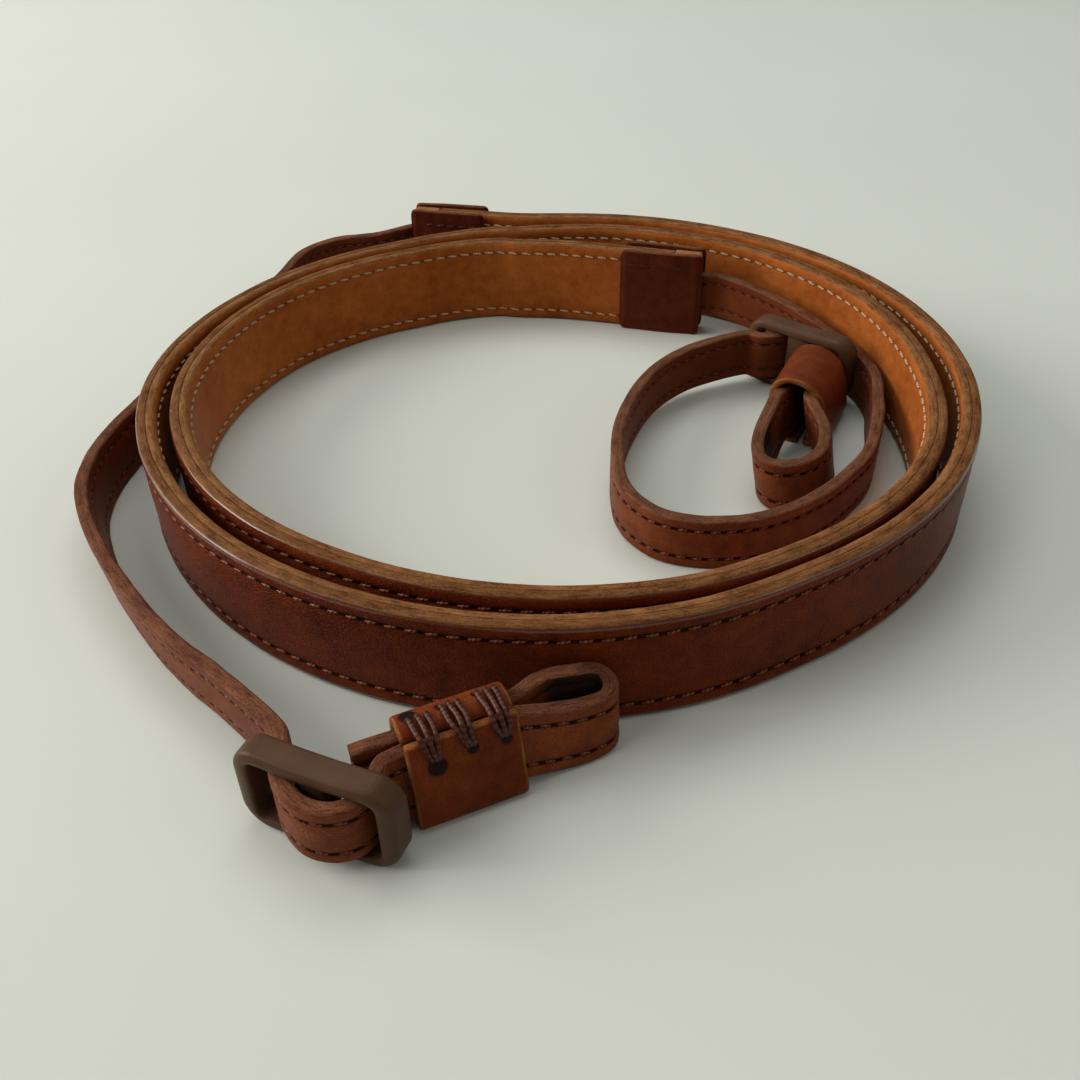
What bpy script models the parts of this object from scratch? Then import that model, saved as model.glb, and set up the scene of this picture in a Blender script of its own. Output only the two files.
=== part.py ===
"""Leather camera neck strap, coiled and standing on its edge.

A stitched two-ply shoulder strap makes a little over two turns. A folded end cover
closes each end and lets out a thin strap, which passes a slide and a keeper and ends
in a lug loop. Metres, +Z up, the surface at z = 0, the origin at the bottom centre.
"""

import math

import bmesh
import bpy
from mathutils import Matrix, Vector

# Shoulder strap
STRAP_WIDTH = 0.0180
OUTER_PLY = 0.0016
LINING_PLY = 0.0014
PLY_GAP = 0.0003
RIM_CROWN = 0.0005
RIM_DROP = 0.0008

# Coil
COIL_REACH = 0.0700
STEP_DEG = 5.0

# Thin straps
THIN_WIDTH = 0.0095
THIN_PLY = 0.0023
THIN_CROWN = 0.0004
POINT_STEPS = 3
TIGHT_STEP = 0.0007

# End covers
COVER_LENGTH = 0.0178
COVER_LAP = 0.0112
COVER_WALL = 0.0010
COVER_LIP = 0.0006
COVER_PINCH = 0.0005

# Slides
SLIDE_LENGTH = 0.0228
SLIDE_HEIGHT = 0.0138
SLIDE_DEPTH = 0.0043
SLIDE_BAR = 0.0018
SLIDE_POST = 0.0025
SLIDE_CORNER = 0.0040
WINDOW_CORNER = 0.0010
SLIDE_BOW = 0.0005
CENTRE_BAR = 0.0030
CENTRE_BAR_DEPTH = 0.0022

# Keepers
KEEPER_LENGTH = 0.0150
KEEPER_WALL = 0.0012
KEEPER_SLIT = 0.0020
KEEPER_A_CORNER = 0.0014
KEEPER_B_CORNER = 0.0020
KEEPER_A_TILT = 0.27
KEEPER_B_TILT = -0.20
SPREAD_A = 0.0
SPREAD_B = 0.0012
EASE_A = 0.0003
EASE_B = 0.0006

# Rows of a strand inside a keeper, as shares of KEEPER_LENGTH from its rear end
SLEEVE_SHARES = (0.05, 0.50, 0.97)

# Where each tail ends, as a share of KEEPER_LENGTH from the keeper's rear end
TAIL_A = -0.36
TAIL_B = 0.03

# Lug loops
LOOP_A_LENGTH = 0.0140
LOOP_A_WIDTH = 0.0076
LOOP_B_LENGTH = 0.0218
LOOP_B_WIDTH = 0.0132

# Clearances
CLEAR = 0.0003
STRAND_GAP = 0.0004

STRAP_DEPTH = OUTER_PLY + PLY_GAP + LINING_PLY

# Outer turn, clockwise from end cover A: degrees travelled, share of COIL_REACH
OUTER_TURN_START = 101.0
OUTER_TURN = (
    (0, 1.054), (4, 1.024), (8, 1.008), (14, 1.003), (26, 1.009), (41, 1.019),
    (71, 1.040), (101, 1.039), (131, 1.020), (161, 0.986), (176, 0.991), (191, 0.994),
    (221, 0.999), (251, 1.011), (281, 1.023), (311, 0.987), (329, 0.950), (341, 0.923),
)

# Later turns: degrees travelled, clear gap to the turn outside as a share of STRAP_WIDTH
LAP_GAPS = (
    (361, 0.328), (371, 0.200), (401, 0.150), (431, 0.156), (461, 0.172), (491, 0.075),
    (521, 0.058), (551, 0.139), (581, 0.178), (611, 0.128), (641, 0.122), (671, 0.089),
    (701, 0.106), (715, 0.156), (724, 0.228), (731, 0.294), (742, 0.406), (749, 0.440),
)

# Thin strap A beside the coil: bearing, share of COIL_REACH, height, outward lean
# Heights are the middle of the strap as a share of THIN_WIDTH
RUN_A = (
    (118.2, 1.193, 0.90, 0.00), (121.2, 1.223, 0.86, 0.00),
    (123.7, 1.255, 0.83, 0.00), (126.4, 1.266, 0.80, 0.00), (128.9, 1.264, 0.77, 0.02),
    (130.9, 1.252, 0.74, 0.04), (133.5, 1.222, 0.70, 0.05), (136.6, 1.183, 0.66, 0.06),
    (142.2, 1.136, 0.62, 0.08), (151.8, 1.096, 0.57, 0.10), (163.8, 1.088, 0.53, 0.12),
    (176.9, 1.110, 0.51, 0.15), (183.0, 1.140, 0.51, 0.16), (189.7, 1.172, 0.51, 0.16),
    (196.5, 1.188, 0.51, 0.16), (203.9, 1.182, 0.51, 0.15), (211.0, 1.175, 0.51, 0.12),
    (217.6, 1.172, 0.51, 0.10), (224.0, 1.178, 0.51, 0.08), (230.0, 1.187, 0.52, 0.06),
    (235.6, 1.199, 0.57, 0.04),
)

# Thin strap A through its slide: along and forward as shares of its length and depth
SLIDE_RUN_A = (
    (-0.470, -1.42, 0.66, 0.0), (-0.332, -0.82, 0.71, 0.0), (-0.262, -0.12, 0.73, 0.0),
    (-0.170, 0.46, 0.73, 0.0), (0.000, 0.94, 0.73, 0.0), (0.156, 0.88, 0.73, 0.0),
    (0.256, 0.48, 0.73, 0.0), (0.290, -0.07, 0.73, 0.0), (0.284, -0.60, 0.72, 0.0),
    (0.290, -1.13, 0.665, 0.9),
)

# Lug loop A beyond the keeper's mouth: shares of its length and width
LUG_RUN_A = (
    (0.07, -0.178, 0.65, 1.00), (0.36, -0.21, 0.56, 0.80), (0.64, -0.25, 0.52, 0.60),
    (0.86, -0.24, 0.53, 0.40), (0.957, -0.17, 0.57, 0.28), (0.996, 0.00, 0.64, 0.15),
    (0.957, 0.17, 0.72, 0.05), (0.86, 0.24, 0.80, 0.00), (0.66, 0.27, 0.85, 0.00),
    (0.38, 0.37, 0.80, 0.20), (0.08, 0.20, 0.67, 0.95),
)

# Thin strap B inside the coil: bearing, share of COIL_REACH, height, outward lean
RUN_B = (
    (49.4, 0.838, 0.93, 0.00), (41.9, 0.846, 0.88, 0.00), (34.9, 0.860, 0.78, 0.00),
    (28.5, 0.872, 0.69, 0.00), (22.9, 0.884, 0.61, 0.00), (17.2, 0.897, 0.55, 0.00),
    (12.0, 0.900, 0.52, 0.00), (6.5, 0.890, 0.51, 0.00), (0.5, 0.864, 0.51, 0.00),
    (354.7, 0.847, 0.51, 0.00), (348.1, 0.829, 0.51, 0.00), (341.0, 0.813, 0.51, 0.00),
    (334.1, 0.786, 0.51, 0.00), (327.4, 0.763, 0.51, 0.00), (319.0, 0.731, 0.51, 0.00),
    (311.0, 0.693, 0.51, 0.00), (304.9, 0.650, 0.51, 0.00), (300.2, 0.610, 0.51, 0.00),
    (295.7, 0.560, 0.51, 0.00), (293.3, 0.506, 0.51, 0.00), (292.3, 0.440, 0.51, 0.00),
    (294.7, 0.362, 0.51, 0.00), (307.6, 0.253, 0.51, 0.00), (330.8, 0.196, 0.52, 0.00),
    (2.0, 0.203, 0.52, 0.00), (23.2, 0.269, 0.54, 0.00), (31.4, 0.356, 0.58, 0.00),
    (33.4, 0.450, 0.63, 0.00), (32.2, 0.535, 0.68, 0.00),
)

# Thin strap B through its slide, forward being toward the lug loop
SLIDE_RUN_B = (
    (-0.452, 0.95, 0.70, 0.0), (-0.310, 0.84, 0.72, 0.0), (-0.205, 0.30, 0.73, 0.0),
    (-0.158, -0.16, 0.73, 0.0), (-0.095, -0.57, 0.73, 0.0), (0.018, -0.72, 0.73, 0.0),
    (0.130, -0.50, 0.73, 0.0), (0.202, 0.08, 0.73, 0.0), (0.266, 0.58, 0.725, 0.3),
)

# Lug loop B beyond the keeper's mouth: shares of its length and width
LUG_RUN_B = (
    (0.08, 0.29, 0.656, 1.0), (0.28, 0.53, 0.56, 1.0), (0.46, 0.64, 0.53, 1.0),
    (0.66, 0.67, 0.52, 1.0), (0.83, 0.59, 0.52, 1.0), (0.93, 0.46, 0.52, 1.0),
    (0.99, 0.31, 0.52, 1.0), (1.00, 0.16, 0.52, 1.0), (0.96, 0.03, 0.52, 1.0),
    (0.86, -0.08, 0.52, 1.0), (0.66, -0.17, 0.53, 1.0), (0.34, -0.22, 0.57, 1.0),
    (0.08, -0.23, 0.656, 1.0),
)

# Slides: bearing and share of COIL_REACH of the middle, heading of the length in degrees
SLIDE_A_AT = (251.1, 1.3474, -23.8)
SLIDE_B_AT = (21.15, 0.7643, -40.0)

# Keepers: place of the rear end from the slide's middle as shares of its length and
# depth, then the heading of the length relative to the slide
KEEPER_A_FROM = (0.311, -1.833, 47.1)
KEEPER_B_FROM = (0.289, 0.942, -77.6)


def material(name, colour, roughness):
    """Principled material of one plain colour."""
    made = bpy.data.materials.new(name)
    made.use_nodes = True
    shader = made.node_tree.nodes["Principled BSDF"]
    shader.inputs["Base Color"].default_value = (*colour, 1.0)
    shader.inputs["Roughness"].default_value = roughness
    shader.inputs["Metallic"].default_value = 0.0
    return made


def add_object(name, mesh_builder, finish, sharp_deg=35.0):
    """Object from a bmesh, with outward faces and one material."""
    bmesh.ops.recalc_face_normals(mesh_builder, faces=mesh_builder.faces[:])
    mesh = bpy.data.meshes.new(name)
    mesh_builder.to_mesh(mesh)
    mesh_builder.free()
    mesh.shade_smooth()
    mesh.set_sharp_from_angle(angle=math.radians(sharp_deg))
    mesh.materials.append(finish)
    made = bpy.data.objects.new(name, mesh)
    bpy.context.scene.collection.objects.link(made)
    return made


def between(rows, at):
    """Smooth value of a two-column table, by a cubic through its four nearest rows."""
    last = len(rows) - 1
    spot = 0
    while spot < last - 1 and at > rows[spot + 1][0]:
        spot += 1
    x1, y1 = rows[spot]
    x2, y2 = rows[spot + 1]
    x0, y0 = rows[spot - 1] if spot > 0 else (x1, y1)
    x3, y3 = rows[spot + 2] if spot + 2 <= last else (x2, y2)
    slope_in = (y2 - y0) / (x2 - x0)
    slope_out = (y3 - y1) / (x3 - x1)
    span = x2 - x1
    t = (at - x1) / span
    return (
        (2 * t**3 - 3 * t**2 + 1) * y1
        + (t**3 - 2 * t**2 + t) * span * slope_in
        + (3 * t**2 - 2 * t**3) * y2
        + (t**3 - t**2) * span * slope_out
    )


def turn_reach(travelled):
    """Distance of the strap's middle from the coil's centre after so many degrees."""
    first_lap_end = LAP_GAPS[0][0]
    if travelled <= OUTER_TURN[-1][0]:
        return COIL_REACH * between(OUTER_TURN, travelled)
    if travelled < first_lap_end:
        start, end = OUTER_TURN[-1][0], first_lap_end
        share = (travelled - start) / (end - start)
        return (1 - share) * turn_reach(start) + share * turn_reach(end)
    gap = STRAP_WIDTH * between(LAP_GAPS, travelled)
    return turn_reach(travelled - 360) - STRAP_DEPTH - gap


def on_bearing(bearing_deg, reach):
    """Plan position at a bearing and a distance from the coil's centre."""
    angle = math.radians(bearing_deg)
    return Vector((reach * math.cos(angle), reach * math.sin(angle), 0))


class Frame:
    """Level frame: an origin, a heading along it and a direction to its left."""

    def __init__(self, origin, heading_deg):
        angle = math.radians(heading_deg)
        self.origin = origin
        self.heading = heading_deg
        self.along = Vector((math.cos(angle), math.sin(angle), 0))
        self.left = Vector((-math.sin(angle), math.cos(angle), 0))

    def at(self, along, left, up=0.0):
        return self.origin + self.along * along + self.left * left + Vector((0, 0, up))

    def matrix(self):
        return Matrix.Translation(self.origin) @ Matrix.Rotation(math.radians(self.heading), 4, "Z")


def left_normals(points):
    """Unit normal to the left of the path at each of its points, in plan."""
    normals = []
    for spot in range(len(points)):
        before = points[max(spot - 1, 0)]
        after = points[min(spot + 1, len(points) - 1)]
        step = (after - before).to_2d().normalized()
        normals.append(Vector((-step.y, step.x, 0)))
    return normals


def smooth_path(rows):
    """Stations on a smooth curve through rows of point and lean."""
    stations = []
    for spot in range(len(rows) - 1):
        before = rows[max(spot - 1, 0)]
        start, end = rows[spot], rows[spot + 1]
        after = rows[min(spot + 2, len(rows) - 1)]
        length = (end[0] - start[0]).length
        steps = max(1, min(POINT_STEPS, round(length / TIGHT_STEP)))
        for count in range(steps):
            t = count / steps
            mixed = []
            for column in range(2):
                p0, p1, p2, p3 = (row[column] for row in (before, start, end, after))
                mixed.append(0.5 * (
                    2 * p1
                    + (p2 - p0) * t
                    + (2 * p0 - 5 * p1 + 4 * p2 - p3) * t**2
                    + (3 * p1 - p0 - 3 * p2 + p3) * t**3
                ))
            stations.append(tuple(mixed))
    stations.append(rows[-1])
    return stations


def sweep(name, stations, section, finish):
    """Closed solid: one section face, extruded from station to station.

    A station holds a centre, the direction across the band and the direction of its
    width. A section point holds its distance across and its distance along the width.
    """
    shape = bmesh.new()
    centre, across, width = stations[0]
    ring = [shape.verts.new(centre + across * a + width * w) for a, w in section]
    cap = shape.faces.new(ring)
    end = cap
    for centre, across, width in stations[1:]:
        grown = bmesh.ops.extrude_face_region(shape, geom=[end])
        if end is not cap:
            shape.faces.remove(end)
        end = next(item for item in grown["geom"] if isinstance(item, bmesh.types.BMFace))
        for vert, (a, w) in zip(end.verts, section):
            vert.co = centre + across * a + width * w
    return add_object(name, shape, finish)


def crowned(inner, outer, width, crown_in, crown_out, drop):
    """Section of a band standing on edge, its corners cut where a crown is given."""
    half = width / 2
    corners = []
    for edge, crown, side in ((inner, crown_in, -1), (outer, crown_out, 1)):
        if crown:
            points = [(edge - side * crown, -half), (edge, -half + drop)]
            points += [(edge, half - drop), (edge - side * crown, half)]
        else:
            points = [(edge, -half), (edge, half)]
        corners.append(points)
    return corners[0][::-1] + corners[1]


def prism(name, frame, outline, low, high, finish):
    """Upright prism over a plan outline given in a frame."""
    shape = bmesh.new()
    ring = [shape.verts.new(frame.at(along, left, low)) for along, left in outline]
    face = shape.faces.new(ring)
    grown = bmesh.ops.extrude_face_region(shape, geom=[face])
    verts = [item for item in grown["geom"] if isinstance(item, bmesh.types.BMVert)]
    bmesh.ops.translate(shape, vec=(0, 0, high - low), verts=verts)
    return add_object(name, shape, finish)


def combine(target, tool, operation):
    """Exact boolean of a tool object, which is then removed."""
    step = target.modifiers.new(operation.lower(), "BOOLEAN")
    step.operation = operation
    step.solver = "EXACT"
    step.object = tool
    graph = bpy.context.evaluated_depsgraph_get()
    mesh = bpy.data.meshes.new_from_object(target.evaluated_get(graph))
    target.modifiers.clear()
    target.data = mesh
    bpy.data.objects.remove(tool)


def strap_path():
    """Middle of the shoulder strap: a straight end, the turns and a straight end."""
    end = LAP_GAPS[-1][0]
    steps = round(end / STEP_DEG)
    bend = []
    for spot in range(steps + 1):
        travelled = end * spot / steps
        bend.append(on_bearing(OUTER_TURN_START - travelled, turn_reach(travelled)))
    first = (bend[0] - bend[1]).normalized()
    last = (bend[-1] - bend[-2]).normalized()
    points = [bend[0] + first * COVER_LAP, *bend, bend[-1] + last * COVER_LAP]
    frame_a = Frame(bend[0], math.degrees(math.atan2(first.y, first.x)))
    frame_b = Frame(bend[-1], math.degrees(math.atan2(last.y, last.x)))
    return points, frame_a, frame_b


def shoulder_strap(points, finishes):
    """Outer ply and lining, standing on their long edges."""
    upright = Vector((0, 0, 1))
    lift = Vector((0, 0, STRAP_WIDTH / 2))
    normals = left_normals(points)
    stations = [(point + lift, normal, upright) for point, normal in zip(points, normals)]
    half = STRAP_DEPTH / 2
    outer = crowned(half - OUTER_PLY, half, STRAP_WIDTH, 0, RIM_CROWN, RIM_DROP)
    lining = crowned(-half, LINING_PLY - half, STRAP_WIDTH, RIM_CROWN, 0, RIM_DROP)
    sweep("shoulder_outer_ply", stations, outer, finishes["outer"])
    sweep("shoulder_lining", stations, lining, finishes["lining"])


def end_cover(name, frame, finish):
    """Folded cover, open above and below, pinched where the thin strap comes out."""
    half = STRAP_DEPTH / 2 + CLEAR + COVER_WALL
    nose = THIN_PLY / 2 + CLEAR + COVER_WALL + COVER_PINCH
    outline = (
        (0, -half), (COVER_LAP + CLEAR, -half), (COVER_LENGTH, -nose),
        (COVER_LENGTH, nose), (COVER_LAP + CLEAR, half), (0, half),
    )
    height = STRAP_WIDTH + COVER_LIP
    cover = prism(name, frame, outline, 0, height, finish)
    inside = STRAP_DEPTH / 2 + CLEAR
    back = -COVER_WALL
    end = COVER_LAP + CLEAR
    pocket = ((back, -inside), (end, -inside), (end, inside), (back, inside))
    tool = prism("pocket", frame, pocket, -COVER_WALL, height + COVER_WALL, finish)
    combine(cover, tool, "DIFFERENCE")
    side = THIN_PLY / 2 + CLEAR
    past = COVER_LENGTH + COVER_WALL
    start = end - COVER_WALL
    mouth = ((start, -side), (past, -side), (past, side), (start, side))
    middle = STRAP_WIDTH / 2
    rise = THIN_WIDTH / 2 + CLEAR
    tool = prism("mouth", frame, mouth, middle - rise, middle + rise, finish)
    combine(cover, tool, "DIFFERENCE")
    return cover


def rounded(half_along, low, high, corner, steps=5):
    """Rounded rectangle outline as along and up pairs."""
    points = []
    centres = (
        (half_along - corner, high - corner, 0), (corner - half_along, high - corner, 90),
        (corner - half_along, low + corner, 180), (half_along - corner, low + corner, 270),
    )
    for along, up, start in centres:
        for count in range(steps + 1):
            angle = math.radians(start + 90 * count / steps)
            points.append((along + corner * math.cos(angle), up + corner * math.sin(angle)))
    return points


def slide_frame(place):
    """Frame in the middle of a slide, along its length."""
    bearing, share, heading = place
    return Frame(on_bearing(bearing, share * COIL_REACH), heading)


def slab(name, outline, depth, finish):
    """Plate of an along and up outline, as deep on both sides of its middle plane."""
    shape = bmesh.new()
    ring = [shape.verts.new((along, -depth / 2, up)) for along, up in outline]
    face = shape.faces.new(ring)
    grown = bmesh.ops.extrude_face_region(shape, geom=[face])
    verts = [item for item in grown["geom"] if isinstance(item, bmesh.types.BMVert)]
    bmesh.ops.translate(shape, vec=(0, depth, 0), verts=verts)
    return add_object(name, shape, finish)


def slide(name, frame, finish):
    """Two-slot frame with a slim centre bar, standing on its long edge, slightly bowed."""
    half = SLIDE_LENGTH / 2
    made = slab(name, rounded(half, 0, SLIDE_HEIGHT, SLIDE_CORNER), SLIDE_DEPTH, finish)
    window = rounded(half - SLIDE_POST, SLIDE_BAR, SLIDE_HEIGHT - SLIDE_BAR, WINDOW_CORNER, 3)
    combine(made, slab("window", window, 2 * SLIDE_DEPTH, finish), "DIFFERENCE")
    edge = CENTRE_BAR / 2
    low, high = SLIDE_BAR / 2, SLIDE_HEIGHT - SLIDE_BAR / 2
    bar = ((-edge, low), (edge, low), (edge, high), (-edge, high))
    combine(made, slab("bar", bar, CENTRE_BAR_DEPTH, finish), "UNION")
    shape = bmesh.new()
    shape.from_mesh(made.data)
    for vert in shape.verts:
        vert.co.y += SLIDE_BOW * ((vert.co.x / half) ** 2 - 0.5)
    bmesh.ops.triangulate(shape, faces=[face for face in shape.faces if len(face.verts) > 4])
    shape.to_mesh(made.data)
    shape.free()
    made.matrix_world = frame.matrix()
    return made


def keeper_frame(slide_at, place):
    """Frame at the rear end of a keeper, along its length."""
    along, forward, turn = place
    origin = slide_at.at(along * SLIDE_LENGTH, -forward * SLIDE_DEPTH)
    return Frame(origin, slide_at.heading + turn)


def keeper(name, frame, spread, ease, corner, tilt, seam, finish):
    """Leather sleeve around both strands, its open seam on top (1) or underneath (-1)."""
    wall = KEEPER_WALL / 2
    half = THIN_PLY + STRAND_GAP / 2 + spread + ease + wall
    low = wall
    high = KEEPER_WALL + THIN_WIDTH + 2 * CLEAR + wall
    middle = (low + high) / 2
    outline = rounded(half, low, high, corner)
    quarter = len(outline) // 4
    top_right, top_left = outline[:quarter], outline[quarter:2 * quarter]
    bottom = outline[2 * quarter:]
    lip = KEEPER_SLIT / 2
    loop = [(-lip, high), *top_left, *bottom, *top_right, (lip, high)]
    loop = [(left, middle + seam * (up - middle)) for left, up in loop]
    stations = []
    for spot, (left, up) in enumerate(loop):
        before = loop[max(spot - 1, 0)]
        after = loop[min(spot + 1, len(loop) - 1)]
        step = Vector((after[0] - before[0], after[1] - before[1])).normalized()
        lean = tilt * (up - middle)
        across = frame.left * (step.y + tilt * -step.x) + Vector((0, 0, -step.x))
        stations.append((frame.at(0, left + lean, up), across, frame.along))
    section = ((-wall, 0), (wall, 0), (wall, KEEPER_LENGTH), (-wall, KEEPER_LENGTH))
    return sweep(name, stations, section, finish)


def run_rows(table):
    """Rows of a thin strap beside or inside the coil."""
    rows = []
    for bearing, reach, height, lean in table:
        point = on_bearing(bearing, reach * COIL_REACH)
        outward = point.normalized()
        rows.append((point + Vector((0, 0, height * THIN_WIDTH)), outward * lean))
    return rows


def local_rows(table, frame, unit_along, unit_left, start, tilt):
    """Rows of a thin strap given in the frame of a slide or a keeper."""
    rows = []
    for along, left, height, lean in table:
        point = frame.at(start + along * unit_along, left * unit_left, height * THIN_WIDTH)
        rows.append((point, frame.left * (lean * tilt)))
    return rows


def thin_strap(name, cover, run, slide_at, slide_run, sleeve, lug_run, loop, side, finish):
    """Thin strap from its cover through slide, keeper and lug loop back to the slide."""
    keeper_at, spread, tilt, tail = sleeve
    loop_length, loop_width = loop
    middle = STRAP_WIDTH / 2
    none = Vector((0, 0, 0))
    starts = (COVER_LAP + 2 * CLEAR, COVER_LENGTH, COVER_LENGTH + THIN_PLY / 2)
    rows = [(cover.at(along, 0, middle), none) for along in starts]
    rows += run_rows(run)
    rows += local_rows(slide_run, slide_at, SLIDE_LENGTH, -SLIDE_DEPTH, 0, tilt)
    strand = (THIN_PLY + STRAND_GAP) / 2
    inside = KEEPER_WALL + CLEAR + THIN_WIDTH / 2
    for share in SLEEVE_SHARES:
        offset = side * (strand + spread * share)
        point = keeper_at.at(share * KEEPER_LENGTH, offset, inside)
        rows.append((point, keeper_at.left * tilt))
    rows += local_rows(lug_run, keeper_at, loop_length, loop_width, KEEPER_LENGTH, tilt)
    rear, centre, front = SLEEVE_SHARES
    for share in (front, centre, rear + tail, tail):
        offset = -side * (strand + spread * max(share, 0))
        point = keeper_at.at(share * KEEPER_LENGTH, offset, inside)
        rows.append((point, keeper_at.left * tilt))
    path = smooth_path(rows)
    normals = left_normals([point for point, lean in path])
    upright = Vector((0, 0, 1))
    stations = [(point, normal, upright + lean) for (point, lean), normal in zip(path, normals)]
    half = THIN_PLY / 2
    section = crowned(-half, half, THIN_WIDTH, THIN_CROWN, THIN_CROWN, THIN_CROWN)
    return sweep(name, stations, section, finish)


def settle():
    """Move everything so that the bottom centre of the whole is the origin."""
    bpy.context.view_layer.update()
    corners = []
    for item in bpy.data.objects:
        corners += [item.matrix_world @ vert.co for vert in item.data.vertices]
    low = Vector(min(corner[axis] for corner in corners) for axis in range(3))
    high = Vector(max(corner[axis] for corner in corners) for axis in range(3))
    shift = Vector((-(low.x + high.x) / 2, -(low.y + high.y) / 2, -low.z))
    for item in bpy.data.objects:
        item.matrix_world = Matrix.Translation(shift) @ item.matrix_world


for item in list(bpy.data.objects):
    bpy.data.objects.remove(item)

leathers = {
    "outer": material("russet_leather", (0.150, 0.040, 0.016), 0.42),
    "lining": material("ochre_lining", (0.360, 0.150, 0.040), 0.55),
    "cover": material("maroon_leather", (0.055, 0.016, 0.012), 0.50),
    "thin": material("chestnut_leather", (0.125, 0.038, 0.018), 0.50),
    "keeper": material("sleeve_leather", (0.140, 0.036, 0.016), 0.45),
    "slide": material("taupe_plastic", (0.100, 0.060, 0.038), 0.48),
}

middle_line, cover_a, cover_b = strap_path()
shoulder_strap(middle_line, leathers)
end_cover("end_cover_a", cover_a, leathers["cover"])
end_cover("end_cover_b", cover_b, leathers["cover"])

slide_a = slide_frame(SLIDE_A_AT)
slide_b = slide_frame(SLIDE_B_AT)
slide("slide_a", slide_a, leathers["slide"])
slide("slide_b", slide_b, leathers["slide"])

keeper_a = keeper_frame(slide_a, KEEPER_A_FROM)
keeper_b = keeper_frame(slide_b, KEEPER_B_FROM)
keeper("keeper_a", keeper_a, SPREAD_A, EASE_A, KEEPER_A_CORNER, KEEPER_A_TILT, 1, leathers["keeper"])
keeper("keeper_b", keeper_b, SPREAD_B, EASE_B, KEEPER_B_CORNER, KEEPER_B_TILT, -1, leathers["keeper"])

thin_strap(
    "thin_strap_a", cover_a, RUN_A, slide_a, SLIDE_RUN_A,
    (keeper_a, SPREAD_A, KEEPER_A_TILT, TAIL_A),
    LUG_RUN_A, (LOOP_A_LENGTH, LOOP_A_WIDTH), -1, leathers["thin"],
)
thin_strap(
    "thin_strap_b", cover_b, RUN_B, slide_b, SLIDE_RUN_B,
    (keeper_b, SPREAD_B, KEEPER_B_TILT, TAIL_B),
    LUG_RUN_B, (LOOP_B_LENGTH, LOOP_B_WIDTH), 1, leathers["thin"],
)

settle()
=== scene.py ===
"""The looks of a leather camera neck strap, coiled and standing on its edge.

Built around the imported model, section by section in the order in which the strap is
put together. Metres, +Z up, the surface at z = 0. Tables of bare numbers are in
millimetres where their comment doesn't give another unit.
"""

import math
import random

import bmesh
import bpy
from mathutils import Matrix, Vector, noise


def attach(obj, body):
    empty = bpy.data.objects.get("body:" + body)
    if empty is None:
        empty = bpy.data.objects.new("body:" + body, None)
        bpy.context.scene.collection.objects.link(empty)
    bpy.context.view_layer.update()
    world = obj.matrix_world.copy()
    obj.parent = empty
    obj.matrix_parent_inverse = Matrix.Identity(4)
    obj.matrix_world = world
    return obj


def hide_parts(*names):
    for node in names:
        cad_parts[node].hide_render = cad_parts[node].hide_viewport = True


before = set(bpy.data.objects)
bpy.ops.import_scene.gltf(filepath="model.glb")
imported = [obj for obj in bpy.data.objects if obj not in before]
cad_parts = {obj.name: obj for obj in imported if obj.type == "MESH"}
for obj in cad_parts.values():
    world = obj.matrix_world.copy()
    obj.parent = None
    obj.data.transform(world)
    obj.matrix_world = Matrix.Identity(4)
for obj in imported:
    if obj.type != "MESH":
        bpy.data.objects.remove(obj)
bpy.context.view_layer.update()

MM = 0.001


# The table top, the windows and the eye
# A plain pale surface in soft daylight: a large window on the left, weaker ones behind and
# on the right, a pale ceiling, and a small pane for the burnish to reflect. The camera
# looks down at the front of the coil.

EYE = Vector((1.006, -166.08, 112.67)) * MM
EYE_PITCH_DEG = 37.91
EYE_ROLL_DEG = -1.229
LENS = 36.0
NEAREST_VIEW = 5.0 * MM
FARTHEST_VIEW = 10.0

camera = bpy.data.objects.new("camera", bpy.data.cameras.new("camera"))
camera.data.lens = LENS
camera.data.sensor_width = LENS
camera.data.clip_start = NEAREST_VIEW
camera.data.clip_end = FARTHEST_VIEW
camera.matrix_world = (
    Matrix.Translation(EYE)
    @ Matrix.Rotation(math.radians(90 - EYE_PITCH_DEG), 4, "X")
    @ Matrix.Rotation(math.radians(EYE_ROLL_DEG), 4, "Z")
)
bpy.context.scene.collection.objects.link(camera)
bpy.context.scene.camera = camera
bpy.context.scene.view_settings.view_transform = "Standard"


class Wire:
    """A value on its way through a finish; arithmetic on it adds Math nodes."""

    def __init__(self, finish, socket):
        self.finish = finish
        self.socket = socket

    def math(self, operation, *values):
        return self.finish.node("ShaderNodeMath", {"operation": operation}, values)

    def __add__(self, other):
        return self.math("ADD", self, other)

    __radd__ = __add__

    def __mul__(self, other):
        return self.math("MULTIPLY", self, other)

    __rmul__ = __mul__

    def __sub__(self, other):
        return self.math("SUBTRACT", self, other)

    def __rsub__(self, other):
        return self.math("SUBTRACT", other, self)

    def __truediv__(self, other):
        return self.math("DIVIDE", self, other)

    def __abs__(self):
        return self.math("ABSOLUTE", self)

    def wrapped(self):
        return self.math("FRACT", self)

    def largest(self, other):
        return self.math("MAXIMUM", self, other)

    def wave(self):
        return self.math("SINE", self)

    def rising(self, low, high):
        """0 below low, 1 above high, smooth in between."""
        settings = {"interpolation_type": "SMOOTHSTEP"}
        return self.finish.node("ShaderNodeMapRange", settings, {0: self, 1: low, 2: high})

    def near(self, place, full, none):
        """1 within full of a place, 0 further off than none."""
        return 1 - abs(self - place).rising(full, none)


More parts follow.
